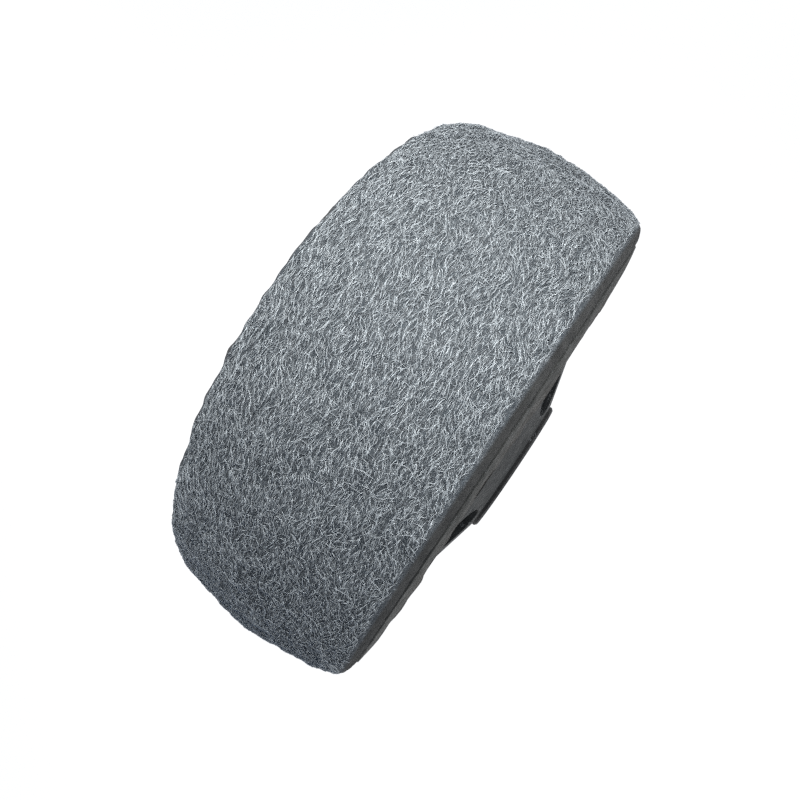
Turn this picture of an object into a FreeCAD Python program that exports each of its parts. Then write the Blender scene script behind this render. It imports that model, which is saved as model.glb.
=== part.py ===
import FreeCAD
import Part

import math
import os

# Felt polishing wheel, 4 x 1-1/2 in, for a lapidary arbor. Units: millimetres.
# The wheel turns about +Y, and the origin is its centre. A tyre of wool felt is
# glued round a thick ring of cellular rubber. Two moulded hub halves clamp that
# ring and the steel arbor sleeve between them, under a cover on each side. Flanged
# bushes push into the sleeve from both sides and reduce its bore.

# Felt tyre and rubber cushion ring
wheel_diameter = 101.6
wheel_width = 38.1
felt_thickness = 3.6
tread_crown = 2.8            # how much lower the tread is at its edges than in the middle
tread_hollow = 1.0           # how deep the felt's hollows lie below its highest lumps
hollow_fade = 3.0            # the hollows fade out over this width beside the felt's edges
felt_margin = 1.05           # the felt ends this far inside the wheel's sides
shoulder_width = 2.5         # axial size of the rounding between tread and side
flat_side = 1.5              # flat rubber left between the hub's lip and that rounding

# The felt's hollows are a sum of waves: waves round the wheel, waves across its width,
# phase in radians and share of the depth. All are even numbers of waves round the wheel,
# which keeps it centred on its axis.
felt_waves = [
    (16, 1.0, 0.4, 0.26),
    (26, -1.6, 2.1, 0.22),
    (22, 2.3, 4.0, 0.20),
    (30, 0.7, 5.3, 0.17),
    (12, -2.6, 1.2, 0.15),
]
ring_poles = 150             # control points of the uneven surface round the wheel
tread_rings = 15             # and its rings of them: across the tread, and over each shoulder
edge_rings = 5
seam_turn = 60.0             # degrees between the seams of the felt's outside and inside

# Hub halves
barrel_diameter = 60.0       # what the cushion is pushed onto
rim_sink = 0.8               # the hub's rims lie this far below the wheel's sides
boss_stand = 3.2             # the boss stands out this far past the wheel's sides
barrel_wall = 3.4
lip_height = 2.5             # how far the rim's lip reaches over the cushion
lip_thickness = 1.5
web_thickness = 3.0
boss_wall = 3.4
rib_thickness = 2.0
rib_drop = 1.0               # the ribs end this far below the cover's edge
drive_rib_count = 6
drive_rib_width = 4.0
drive_rib_height = 1.6
drive_rib_end = 4.0          # the drive ribs end this far short of the lip

# Side covers and their gaskets
cover_thickness = 2.0
cover_step = 0.8             # the boss's end stands out this far past the cover round it
rebate_wall = 1.6            # what is left of the barrel's wall round the cover
gasket_thickness = 0.8
seat_floor = 1.8             # cover left under the nut
column_wall = 1.3            # cover and hub left round the washer
moulded_edge = 0.35          # chamfer on the mouldings' outside edges

# Arbor sleeve and reducing bushes
large_arbor = 15.875
small_arbor = 12.7
sleeve_wall = 2.0
collar_flats = 21.0
collar_width = 4.0
bush_flange_width = 3.0      # radial reach of the flange over the sleeve
bush_flange_thickness = 1.2
bush_space = 1.0             # left between the two bushes
bush_chamfer = 0.5
sleeve_chamfer = 0.4

# Fasteners
screw_count = 4
screw_diameter = 4.0
head_diameter = 7.0
head_height = 4.0
key_flats = 3.0
key_depth = 2.2
nut_flats = 7.0
nut_height = 3.2             # the hexagon alone, without the collar round its locking ring
lock_ring_width = 0.6
lock_ring_height = 1.3
lock_collar_wall = 0.5
lock_collar_height = 1.6
washer_diameter = 9.0
washer_thickness = 0.8
head_chamfer = 0.4
nut_chamfer = 0.4
head_sink = 0.3              # the heads lie this far below the cover's edge
nut_sink = 2.7               # and the nuts this far
tip_stand = 0.5              # how far a screw's tip passes its nut

# Clearances
glue_line = 0.1
sleeve_clearance = 0.02
collar_clearance = 0.1
rib_clearance = 0.1
lip_clearance = 0.1
cover_clearance = 0.1
bush_clearance = 0.05
flange_clearance = 0.15
seat_gap = 0.05
hole_clearance = 0.2
pocket_clearance = 0.1
thread_clearance = 0.03

# Radii worked out from the sizes above
wheel_radius = wheel_diameter / 2
edge_radius = wheel_radius - tread_crown
barrel_radius = barrel_diameter / 2
cushion_inside = barrel_radius + glue_line
barrel_inside = barrel_radius - barrel_wall
rebate_radius = barrel_radius - rebate_wall
lip_radius = barrel_radius + lip_height
side_radius = lip_radius + flat_side
shoulder_height = edge_radius - side_radius
sleeve_bore = large_arbor / 2
sleeve_radius = sleeve_bore + sleeve_wall
hub_bore = sleeve_radius + sleeve_clearance
boss_radius = hub_bore + boss_wall
cover_inside = boss_radius + cover_clearance
cover_outside = rebate_radius - cover_clearance
bush_flange_radius = sleeve_bore + bush_flange_width
washer_seat_radius = washer_diameter / 2 + pocket_clearance
column_radius = washer_seat_radius + column_wall
screw_circle = (boss_radius + barrel_inside) / 2
thread_radius = screw_diameter / 2 + thread_clearance
lock_ring_radius = thread_radius + lock_ring_width
lock_seat_radius = lock_ring_radius + thread_clearance
lock_collar_radius = lock_seat_radius + lock_collar_wall

# Places along the axle worked out from the sizes above, on the +Y side
half_width = wheel_width / 2
boss_face = half_width + boss_stand
cover_crest = boss_face - cover_step
tread_half = half_width - shoulder_width
felt_end = half_width - felt_margin
rim_face = half_width - rim_sink
lip_back = rim_face - lip_thickness
cover_back = rim_face - cover_thickness
ledge = cover_back - gasket_thickness
rib_top = cover_back - rib_drop
sleeve_end = boss_face - bush_flange_thickness - seat_gap
head_seat = rim_face - head_sink - head_height
washer_seat = head_seat - washer_thickness
nut_outside = rim_face - nut_sink
lock_collar_base = nut_outside - lock_collar_height
nut_seat = lock_collar_base - nut_height
screw_tip = nut_outside + tip_stand
column_end = nut_seat - seat_floor

# Angles in degrees about the axle
screw_pitch = 360.0 / screw_count
first_screw = screw_pitch / 2
first_rib = first_screw + screw_pitch / 4

ORIGIN = FreeCAD.Vector(0, 0, 0)
AXLE = FreeCAD.Vector(0, 1, 0)
TOUCH = 1e-4


def at(radius, y):
    """A point of a turned profile: its distance from the axle and its place along it."""
    return FreeCAD.Vector(radius, y, 0)


def turned(edges):
    """The solid that a closed profile sweeps in one turn about the axle."""
    return Part.Face(Part.Wire(edges)).revolve(ORIGIN, AXLE, 360)


def turned_polygon(*corners):
    """A turned solid whose profile has straight sides only."""
    points = [at(*corner) for corner in corners]
    return turned(Part.makePolygon(points + points[:1]).Edges)


def drum(radius, low, high, x=0.0, z=0.0):
    """A cylinder along the axle from y = low to y = high, centred on (x, z)."""
    return Part.makeCylinder(radius, high - low, FreeCAD.Vector(x, low, z), AXLE)


def tube(inside, outside, low, high, x=0.0, z=0.0):
    """A plain ring along the axle, centred on (x, z)."""
    return drum(outside, low, high, x, z).cut(drum(inside, low, high, x, z))


def hexagon(flats, low, high, x=0.0, z=0.0):
    """A hexagonal bar along the axle, measured across its flats."""
    corner = flats / math.sqrt(3)
    points = []
    for step in range(6):
        angle = math.radians(60 * step)
        points.append(FreeCAD.Vector(x + corner * math.cos(angle), low, z + corner * math.sin(angle)))
    return Part.Face(Part.makePolygon(points + points[:1])).extrude(AXLE * (high - low))


def spoke(thickness, inner, outer, low, high, angle):
    """A radial plate between two radii, turned to an angle in degrees about the axle."""
    plate = Part.makeBox(outer - inner, high - low, thickness, FreeCAD.Vector(inner, low, -thickness / 2))
    plate.rotate(ORIGIN, AXLE, angle)
    return plate


def around(count, first=0.0):
    """Evenly spaced angles in degrees."""
    return [first + 360.0 * step / count for step in range(count)]


def screw_places():
    """The (x, z) centre of each clamp screw."""
    turns = [math.radians(angle) for angle in around(screw_count, first_screw)]
    return [(screw_circle * math.cos(turn), -screw_circle * math.sin(turn)) for turn in turns]


def joined(solids):
    """One solid from several that touch."""
    return solids[0].multiFuse(solids[1:]).removeSplitter()


def without(solid, cuts):
    """A solid less several others."""
    return solid.cut(Part.makeCompound(cuts))


def mirrored(solid):
    """The same moulding on the -Y side."""
    return solid.mirror(ORIGIN, AXLE)


def eased(solid, size, *rims):
    """The solid with a chamfer on its round edges; a rim is a radius and a place along the axle."""
    edges = []
    for edge in solid.Edges:
        if isinstance(edge.Curve, Part.Circle):
            found = [abs(edge.Curve.Radius - radius) + abs(edge.Curve.Center.y - y) for radius, y in rims]
            if min(found) < TOUCH:
                edges.append(edge)
    return solid.makeChamfer(size, edges)


def save(name, *solids):
    """Writes one node's solids to its STEP file."""
    shape = solids[0] if len(solids) == 1 else Part.makeCompound(list(solids))
    shape.exportStep(f"parts/{name}.step")


def shoulder(y, start, end):
    """A quarter of an ellipse between the tread's edge and the flat side, from one angle to another."""
    ellipse = Part.Ellipse(at(side_radius, y), shoulder_height, shoulder_width)
    return Part.ArcOfEllipse(ellipse, start, end).toShape()


def tread(depth, reach):
    """The crowned curve that lies at a depth below the tread, over a reach on both sides."""
    edge = edge_radius - depth
    return Part.Arc(at(edge, -reach), at(wheel_radius - depth, 0), at(edge, reach))


def tyre_outline():
    """Felt and cushion together: a crowned tread, rounded shoulders and flat sides."""
    return turned([
        Part.makeLine(at(cushion_inside, half_width), at(cushion_inside, -half_width)),
        Part.makeLine(at(cushion_inside, -half_width), at(side_radius, -half_width)),
        shoulder(-tread_half, 1.5 * math.pi, 2 * math.pi),
        tread(0, tread_half).toShape(),
        shoulder(tread_half, 0, 0.5 * math.pi),
        Part.makeLine(at(side_radius, half_width), at(cushion_inside, half_width)),
    ])


def crowned_drum(depth):
    """A solid drum that is as crowned as the tread and lies at a depth below it."""
    outside = edge_radius - depth
    return turned([
        Part.makeLine(at(0, half_width), at(0, -half_width)),
        Part.makeLine(at(0, -half_width), at(outside, -half_width)),
        tread(depth, half_width).toShape(),
        Part.makeLine(at(outside, half_width), at(0, half_width)),
    ])


def plain_radius(y):
    """The outside radius without hollows: the tread's crown, an arc, or the shoulder's ellipse."""
    if abs(y) > tread_half:
        lean = (abs(y) - tread_half) / shoulder_width
        return side_radius + shoulder_height * math.sqrt(1 - lean ** 2)
    bow = (tread_half ** 2 + tread_crown ** 2) / (2 * tread_crown)
    return wheel_radius - bow + math.sqrt(bow ** 2 - y ** 2)


def felt_wave(turn, y):
    """The felt's unevenness, from -1 to 1: a sum of waves that run round and across it."""
    wave = 0.0
    for count, skew, phase, share in felt_waves:
        wave += share * math.cos(count * turn + skew * math.tau * y / wheel_width + phase)
    return wave


def felt_ring(y):
    """Control points round the felt; its hollows fade out towards its edges."""
    depth = tread_hollow * min(1.0, (felt_end - abs(y)) / hollow_fade)
    ring = []
    for turn in [math.radians(angle) for angle in around(ring_poles)]:
        radius = plain_radius(y) - depth * (1 - felt_wave(turn, y)) / 2
        ring.append(FreeCAD.Vector(radius * math.cos(turn), y, radius * math.sin(turn)))
    return ring


def uneven_drum():
    """A solid drum, closed by flat ends, whose outside is the felt's uneven surface."""
    tread = [tread_half * (2 * row / (tread_rings - 1) - 1) for row in range(tread_rings)]
    edge = [tread_half + (felt_end - tread_half) * (row + 1) / edge_rings for row in range(edge_rings)]
    places = [-y for y in reversed(edge)] + tread + edge
    poles = [list(across) for across in zip(*[felt_ring(y) for y in places])]
    spans = len(places) - 3
    surface = Part.BSplineSurface()
    surface.buildFromPolesMultsKnots(
        poles,
        [1] * (ring_poles + 1),
        [4] + [1] * (spans - 1) + [4],
        list(range(ring_poles + 1)),
        list(range(spans + 1)),
        True,
        False,
        3,
        3,
    )
    ends = [Part.Face(Part.Wire([surface.vIso(place).toShape()])) for place in (0, spans)]
    return Part.Solid(Part.makeShell([surface.toShape()] + ends))


def felt_tyre():
    """The pressed wool felt: uneven outside, smooth where it is glued, its edges trimmed flat."""
    inside = crowned_drum(felt_thickness).rotated(ORIGIN, AXLE, seam_turn)
    return uneven_drum().cut(inside)


def drive_ribs(low, high, clearance=0.0):
    """The ribs along the barrel that stop the cushion from slipping round it."""
    inner = barrel_radius - barrel_wall / 2
    outer = barrel_radius + drive_rib_height + clearance
    width = drive_rib_width + 2 * clearance
    return [spoke(width, inner, outer, low, high, angle) for angle in around(drive_rib_count)]


def cushion_ring():
    """The cellular rubber, with a seat for each lip and a groove for each drive rib."""
    ring = tyre_outline().common(crowned_drum(felt_thickness + glue_line))
    seat = lip_radius + lip_clearance
    floor = lip_back - lip_clearance
    groove_end = lip_back - drive_rib_end + rib_clearance
    cuts = drive_ribs(-groove_end, groove_end, rib_clearance)
    cuts += [drum(seat, floor, half_width), drum(seat, -half_width, -floor)]
    return without(ring, cuts)


def hub_half():
    """The +Y half: barrel, lip, web, boss, ribs and screw columns in one moulding."""
    solids = [
        tube(barrel_inside, barrel_radius, 0, rim_face),
        tube(barrel_inside, lip_radius, lip_back, rim_face),
        tube(hub_bore, barrel_radius, 0, web_thickness),
        tube(hub_bore, boss_radius, 0, boss_face),
    ]
    solids += drive_ribs(0, lip_back - drive_rib_end)
    inner = (hub_bore + boss_radius) / 2
    outer = (barrel_inside + rebate_radius) / 2
    room = [drum(column_radius + cover_clearance, column_end, rib_top, x, z) for x, z in screw_places()]
    for angle in around(2 * screw_count, first_rib):
        solids.append(without(spoke(rib_thickness, inner, outer, 0, rib_top, angle), room))
    solids += [drum(column_radius, 0, column_end, x, z) for x, z in screw_places()]
    recess_flats = collar_flats + 2 * collar_clearance
    cuts = [
        tube(boss_radius, rebate_radius, rib_top, half_width),
        tube(barrel_inside, rebate_radius, ledge, half_width),
        drum(bush_flange_radius + flange_clearance, sleeve_end, boss_face),
        hexagon(recess_flats, 0, collar_width / 2 + collar_clearance),
        drum(hub_bore, 0, boss_face),
    ]
    cuts += [drum(screw_diameter / 2 + hole_clearance, 0, column_end, x, z) for x, z in screw_places()]
    return eased(without(joined(solids), cuts), moulded_edge,
                 (lip_radius, rim_face), (rebate_radius, rim_face), (boss_radius, boss_face))


def cover_surface(depth):
    """A cover's outer surface, or one below it: a flat edge, then a cone that rises to the boss."""
    return [
        (cover_outside, rim_face - depth),
        (barrel_inside, rim_face - depth),
        (cover_inside, cover_crest - depth),
    ]


def side_cover():
    """The +Y cover: a dished disc with a column behind each screw."""
    disc = turned_polygon(*cover_surface(0), *reversed(cover_surface(cover_thickness)))
    disc = eased(disc, moulded_edge, (cover_inside, cover_crest), (cover_outside, rim_face))
    within = barrel_inside - cover_clearance
    back = cover_surface(cover_thickness / 2)
    room = turned_polygon((cover_inside, column_end), (within, column_end), (within, back[1][1]), back[2])
    columns = [drum(column_radius, column_end, boss_face, x, z).common(room) for x, z in screw_places()]
    holes = [drum(screw_diameter / 2 + hole_clearance, column_end, boss_face, x, z) for x, z in screw_places()]
    return without(joined([disc] + columns), holes)


def side_cover_right():
    """The cover with a round seat for each washer and screw head."""
    seats = [drum(washer_seat_radius, washer_seat, boss_face, x, z) for x, z in screw_places()]
    return without(side_cover(), seats)


def side_cover_left():
    """The cover with a hexagonal pocket for each nut."""
    flats = nut_flats + 2 * pocket_clearance
    pockets = [hexagon(flats, -boss_face, -nut_seat, x, z) for x, z in screw_places()]
    return without(mirrored(side_cover()), pockets)


def gasket():
    """The flat rubber ring between the +Y cover's edge and its ledge."""
    return tube(barrel_inside + cover_clearance, cover_outside, ledge, cover_back)


def arbor_sleeve():
    """The steel tube that the arbor runs through, with the hexagonal collar that drives the hub."""
    body = turned_polygon(
        (sleeve_bore, -sleeve_end + sleeve_chamfer),
        (sleeve_bore + sleeve_chamfer, -sleeve_end),
        (sleeve_radius, -sleeve_end),
        (sleeve_radius, sleeve_end),
        (sleeve_bore + sleeve_chamfer, sleeve_end),
        (sleeve_bore, sleeve_end - sleeve_chamfer),
    )
    collar = hexagon(collar_flats, -collar_width / 2, collar_width / 2)
    return joined([body, collar.cut(drum((sleeve_bore + sleeve_radius) / 2, -collar_width, collar_width))])


def reducer_bush():
    """The +Y nylon bush, its flange seated on the sleeve's end."""
    inside = small_arbor / 2
    outside = sleeve_bore - bush_clearance
    tip = bush_space / 2
    back = boss_face - bush_flange_thickness
    return turned_polygon(
        (inside, tip),
        (outside - bush_chamfer, tip),
        (outside, tip + bush_chamfer),
        (outside, back),
        (bush_flange_radius, back),
        (bush_flange_radius, boss_face - bush_chamfer),
        (bush_flange_radius - bush_chamfer, boss_face),
        (inside + bush_chamfer, boss_face),
        (inside, boss_face - bush_chamfer),
    )


def clamp_screw(x, z):
    """A socket head screw, its head on the right."""
    top = head_seat + head_height
    head = eased(drum(head_diameter / 2, head_seat, top, x, z), head_chamfer, (head_diameter / 2, top))
    shank = drum(screw_diameter / 2, -screw_tip, head_seat, x, z)
    return head.fuse(shank).removeSplitter().cut(hexagon(key_flats, top - key_depth, top, x, z))


def clamp_nut(x, z):
    """A lock nut in its pocket in the left cover: a hexagon and the collar round its ring."""
    corner = nut_flats / math.sqrt(3)
    blank = eased(drum(corner, -lock_collar_base, -nut_seat, x, z), nut_chamfer, (corner, -lock_collar_base))
    body = hexagon(nut_flats, -lock_collar_base, -nut_seat, x, z).common(blank)
    collar = drum(lock_collar_radius, -nut_outside, -lock_collar_base, x, z)
    collar = eased(collar, nut_chamfer, (lock_collar_radius, -nut_outside))
    ring_seat = drum(lock_seat_radius, -nut_outside, -lock_collar_base, x, z)
    hole = drum(thread_radius, -nut_outside, -nut_seat, x, z)
    return without(joined([body, collar]), [ring_seat, hole])


def lock_ring(x, z):
    """The nylon ring that grips the thread, at the bottom of the nut's collar."""
    end = -lock_collar_base - lock_ring_height
    return tube(thread_radius, lock_ring_radius, end, -lock_collar_base, x, z)


def clamp_washer(x, z):
    """A flat washer under a screw's head."""
    return tube(screw_diameter / 2 + hole_clearance, washer_diameter / 2, washer_seat, head_seat, x, z)


os.makedirs("parts", exist_ok=True)
save("felt_tyre", felt_tyre())
save("cushion_ring", cushion_ring())
save("hub_half_right", hub_half())
save("hub_half_left", mirrored(hub_half()))
save("side_cover_right", side_cover_right())
save("side_cover_left", side_cover_left())
save("cover_gasket_right", gasket())
save("cover_gasket_left", mirrored(gasket()))
save("arbor_sleeve", arbor_sleeve())
save("reducer_bush_right", reducer_bush())
save("reducer_bush_left", mirrored(reducer_bush()))
save("clamp_screws", *[clamp_screw(x, z) for x, z in screw_places()])
save("clamp_nuts", *[clamp_nut(x, z) for x, z in screw_places()])
save("lock_rings", *[lock_ring(x, z) for x, z in screw_places()])
save("clamp_washers", *[clamp_washer(x, z) for x, z in screw_places()])
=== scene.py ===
import math

import bpy
import numpy as np
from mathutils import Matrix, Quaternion, Vector


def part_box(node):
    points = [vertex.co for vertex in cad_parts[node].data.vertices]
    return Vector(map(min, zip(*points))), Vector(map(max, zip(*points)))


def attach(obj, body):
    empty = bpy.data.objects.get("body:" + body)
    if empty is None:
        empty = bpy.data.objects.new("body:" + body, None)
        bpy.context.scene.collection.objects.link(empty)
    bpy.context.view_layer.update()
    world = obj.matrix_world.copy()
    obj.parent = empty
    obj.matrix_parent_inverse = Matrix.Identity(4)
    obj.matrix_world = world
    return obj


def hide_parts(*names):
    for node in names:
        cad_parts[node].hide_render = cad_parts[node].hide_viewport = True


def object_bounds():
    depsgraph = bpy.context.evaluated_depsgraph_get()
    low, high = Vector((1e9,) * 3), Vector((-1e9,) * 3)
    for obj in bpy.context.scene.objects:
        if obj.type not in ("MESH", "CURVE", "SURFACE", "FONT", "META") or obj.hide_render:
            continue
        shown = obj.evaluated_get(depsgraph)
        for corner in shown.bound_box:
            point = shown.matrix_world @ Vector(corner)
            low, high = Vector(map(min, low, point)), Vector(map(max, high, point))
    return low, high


# Felt polishing wheel for a lapidary arbor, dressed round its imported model, in metres.
# The wheel turns about +Y. The file follows it as it is put together, from the arbor
# outwards: sleeve, hub halves, fasteners, gaskets and covers, cushion, felt, fibres, bushes.

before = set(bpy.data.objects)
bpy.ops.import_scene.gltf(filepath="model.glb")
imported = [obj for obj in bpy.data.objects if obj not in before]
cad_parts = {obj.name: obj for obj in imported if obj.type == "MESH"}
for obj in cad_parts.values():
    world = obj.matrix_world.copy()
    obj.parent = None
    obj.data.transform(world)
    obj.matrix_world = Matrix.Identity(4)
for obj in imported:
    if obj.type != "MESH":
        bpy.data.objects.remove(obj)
cad_low, cad_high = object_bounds()


# ---------------------------------------------------------------------------------------
# Arbor sleeve. A drawn steel tube, turned on its outside and reamed to the arbor's size,
# with a hexagonal collar brazed on at the middle. It is clamped between the hub halves,
# so it shows only where a bush is out.

TO_MILLIMETRES = 1000.0


def plug(tree, socket, value):
    """Links a socket, or writes a plain number, vector or colour into it."""
    if isinstance(value, bpy.types.NodeSocket):
        tree.links.new(value, socket)
    else:
        socket.default_value = value


def put(tree, kind, inputs=None, **settings):
    """A shader node of one kind, with its settings made and its inputs filled."""
    node = tree.nodes.new("ShaderNode" + kind)
    for setting, value in settings.items():
        setattr(node, setting, value)
    for socket, value in (inputs or {}).items():
        plug(tree, node.inputs[socket], value)
    return node


def maths(tree, operation, *values, clamp=False):
    """One arithmetic step on numbers that change over the surface."""
    node = put(tree, "Math", operation=operation, use_clamp=clamp)
    for socket, value in zip(node.inputs, values):
        plug(tree, socket, value)
    return node.outputs["Value"]


def vector_maths(tree, operation, *values):
    """One arithmetic step on vectors; a length or a product comes out as a number."""
    node = put(tree, "VectorMath", operation=operation)
    for socket, value in zip(node.inputs, values):
        plug(tree, socket, value)
    return node.outputs["Value" if operation in ("LENGTH", "DOT_PRODUCT") else "Vector"]


def stretched(tree, vector, x, y, z):
    """A vector with each of its parts multiplied by its own number."""
    return vector_maths(tree, "MULTIPLY", vector, (x, y, z))


def eased_step(tree, value, low, high, at_low=0.0, at_high=1.0):
    """A smooth step from one result to another while value goes from low to high."""
    node = put(tree, "MapRange", interpolation_type="SMOOTHSTEP")
    ends = {"From Min": low, "From Max": high, "To Min": at_low, "To Max": at_high}
    for socket, number in ends.items():
        plug(tree, node.inputs[socket], number)
    plug(tree, node.inputs["Value"], value)
    return node.outputs["Result"]


def noise(tree, vector, scale, detail=2.0, roughness=0.5, distortion=0.0):
    """Smooth noise about 0.5, with features about 1 / scale across."""
    node = put(tree, "TexNoise", {"Vector": vector, "Scale": scale, "Detail": detail,
                                  "Roughness": roughness, "Distortion": distortion})
    return node.outputs["Fac"]


def mixed(tree, share, first, second):
    """A colour between two colours."""
    node = put(tree, "Mix", data_type="RGBA")
    plug(tree, node.inputs[0], share)
    plug(tree, node.inputs[6], first)
    plug(tree, node.inputs[7], second)
    return node.outputs[2]


def new_group(name, numbers, outputs):
    """A shader group that takes a place in millimetres and named numbers, and gives named
    results."""
    group = bpy.data.node_groups.new(name, "ShaderNodeTree")
    group.interface.new_socket("Place", in_out="INPUT", socket_type="NodeSocketVector")
    for label, value in numbers.items():
        socket = group.interface.new_socket(label, in_out="INPUT", socket_type="NodeSocketFloat")
        socket.default_value = value
    for label, kind in outputs.items():
        group.interface.new_socket(label, in_out="OUTPUT", socket_type="NodeSocket" + kind)
    entry = group.nodes.new("NodeGroupInput").outputs
    result = group.nodes.new("NodeGroupOutput").inputs
    return group, entry, result


def use(tree, group, place, **numbers):
    """A group placed in a material with its own values; returns its outputs."""
    node = put(tree, "Group", node_tree=group)
    plug(tree, node.inputs["Place"], place)
    for label, value in numbers.items():
        plug(tree, node.inputs[label], value)
    return node.outputs


def new_material(name, **sockets):
    """A Principled material, its node tree, its shader and its place in millimetres."""
    material = bpy.data.materials.new(name)
    material.use_nodes = True
    tree = material.node_tree
    tree.nodes.clear()
    surface = put(tree, "BsdfPrincipled", sockets)
    output = put(tree, "OutputMaterial")
    tree.links.new(surface.outputs["BSDF"], output.inputs["Surface"])
    coordinates = put(tree, "TexCoord").outputs["Object"]
    place = vector_maths(tree, "MULTIPLY", coordinates, (TO_MILLIMETRES,) * 3)
    return material, tree, surface, place


def emboss(tree, surface, height, depth, strength=1.0):
    """Bump from a height between 0 and 1 that stands for a depth in metres."""
    bump = put(tree, "Bump", {"Height": height, "Distance": depth, "Strength": strength})
    tree.links.new(bump.outputs["Normal"], surface.inputs["Normal"])


def round_the_axle():
    """Where a point lies on a turned piece: its radius, its place along the axle and its
    direction from it. radius = length of (x, z); along = y; direction = (x, z) / radius."""
    group, entry, result = new_group(
        "round the axle", {}, {"Radius": "Float", "Along": "Float", "Turn": "Vector"})
    flat = stretched(group, entry["Place"], 1.0, 0.0, 1.0)
    apart = put(group, "SeparateXYZ", {"Vector": entry["Place"]})
    plug(group, result["Radius"], vector_maths(group, "LENGTH", flat))
    plug(group, result["Along"], apart.outputs["Y"])
    plug(group, result["Turn"], vector_maths(group, "NORMALIZE", flat))
    return group


def turning_marks():
    """The fine grooves that a cutting tool leaves: noise that changes quickly along the
    profile and slowly round it. Place is (distance along the profile, turn x, turn z)."""
    group, entry, result = new_group(
        "turning marks", {"Pitch": 0.1}, {"Height": "Float", "Tone": "Float"})
    apart = put(group, "SeparateXYZ", {"Vector": entry["Place"]})
    passes = maths(group, "DIVIDE", apart.outputs["X"], entry["Pitch"])
    turn_x, turn_z = apart.outputs["Y"], apart.outputs["Z"]
    track = put(group, "CombineXYZ", {"X": passes, "Y": turn_x, "Z": turn_z}).outputs["Vector"]
    fine = noise(group, track, 1.0, detail=3.0, roughness=0.6)
    broad = noise(group, track, 0.13, detail=1.0)
    plug(group, result["Height"], maths(group, "MULTIPLY_ADD", broad, 0.5, fine))
    plug(group, result["Tone"], eased_step(group, broad, 0.3, 0.7))
    return group


def handling():
    """Uneven tone from hands, dust and oil: soft blotches of one size, from 0 to 1."""
    group, entry, result = new_group("handling", {"Size": 6.0}, {"Mask": "Float"})
    scale = maths(group, "DIVIDE", 1.0, entry["Size"])
    cloud = noise(group, entry["Place"], scale, detail=4.0, roughness=0.6, distortion=0.4)
    plug(group, result["Mask"], eased_step(group, cloud, 0.32, 0.7))
    return group


ROUND_THE_AXLE = round_the_axle()
TURNING_MARKS = turning_marks()
HANDLING = handling()
SLEEVE_STEEL = (0.50, 0.50, 0.49, 1)
SLEEVE_STEEL_BRIGHT = (0.61, 0.60, 0.58, 1)
OILY_STEEL = (0.47, 0.45, 0.42, 1)


def turned_track(tree, place):
    """The place on a turned surface as turning marks need it: (radius + along, turn)."""
    where = use(tree, ROUND_THE_AXLE, place)
    run = maths(tree, "ADD", where["Radius"], where["Along"])
    turn = put(tree, "SeparateXYZ", {"Vector": where["Turn"]})
    track = put(tree, "CombineXYZ", {"X": run, "Y": turn.outputs["X"], "Z": turn.outputs["Z"]})
    return track.outputs["Vector"]


def sleeve_steel():
    """Reamed steel: bright, with fine round marks and a thin uneven film of oil."""
    material, tree, surface, place = new_material("sleeve steel", Metallic=1.0)
    marks = use(tree, TURNING_MARKS, turned_track(tree, place), Pitch=0.09)
    film = use(tree, HANDLING, place, Size=4.0)["Mask"]
    reamed = mixed(tree, marks["Tone"], SLEEVE_STEEL, SLEEVE_STEEL_BRIGHT)
    plug(tree, surface.inputs["Base Color"], mixed(tree, film, reamed, OILY_STEEL))
    plug(tree, surface.inputs["Roughness"], eased_step(tree, marks["Height"], 0.4, 1.1, 0.24, 0.46))
    emboss(tree, surface, marks["Height"], 0.00001)
    return material


def dress(node_name, material):
    """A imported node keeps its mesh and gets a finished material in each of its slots."""
    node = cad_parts[node_name]
    for material_slot in node.material_slots:
        material_slot.material = material


dress("arbor_sleeve", sleeve_steel())


# ---------------------------------------------------------------------------------------
# Hub halves. Two equal mouldings of charcoal glass-filled nylon, which meet at the
# wheel's middle and clamp the cushion between their lips. The gate side is outwards, and
# the arbor's flanges rub rings into the ends of the bosses.

HUB_NYLON = (0.034, 0.034, 0.034, 1)
HUB_NYLON_PALE = (0.050, 0.050, 0.049, 1)
SCUFFED_NYLON = (0.10, 0.102, 0.102, 1)
CLAMP_FACE = cad_high.y * TO_MILLIMETRES


def moulded_grain():
    """The texture of a spark-eroded mould: small round pits that run into each other."""
    group, entry, result = new_group("moulded grain", {"Size": 0.25}, {"Height": "Float"})
    scale = maths(group, "DIVIDE", 1.0, entry["Size"])
    pits = put(group, "TexVoronoi", {"Vector": entry["Place"], "Scale": scale}, feature="SMOOTH_F1")
    drift = noise(group, entry["Place"], scale, detail=2.0)
    plug(group, result["Height"], maths(group, "ADD", pits.outputs["Distance"], drift))
    return group


def worn_edges():
    """How far a chamfered round edge is rubbed pale: full where the surface leans half
    way between the axle and the radius, broken up by noise. Lean is the normal's part
    along the axle."""
    group, entry, result = new_group("worn edges", {"Lean": 0.0}, {"Mask": "Float"})
    lean = maths(group, "ABSOLUTE", entry["Lean"])
    off_corner = maths(group, "ABSOLUTE", maths(group, "SUBTRACT", lean, math.sqrt(0.5)))
    rub = noise(group, entry["Place"], 0.7, detail=4.0, roughness=0.7)
    corner = eased_step(group, off_corner, 0.12, 0.02)
    rubbed = eased_step(group, rub, 0.38, 0.62)
    plug(group, result["Mask"], maths(group, "MULTIPLY", corner, rubbed))
    return group


def highest(tree, values):
    """The greatest of several numbers that change over the surface."""
    top = values[0]
    for value in values[1:]:
        top = maths(tree, "MAXIMUM", top, value)
    return top


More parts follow.
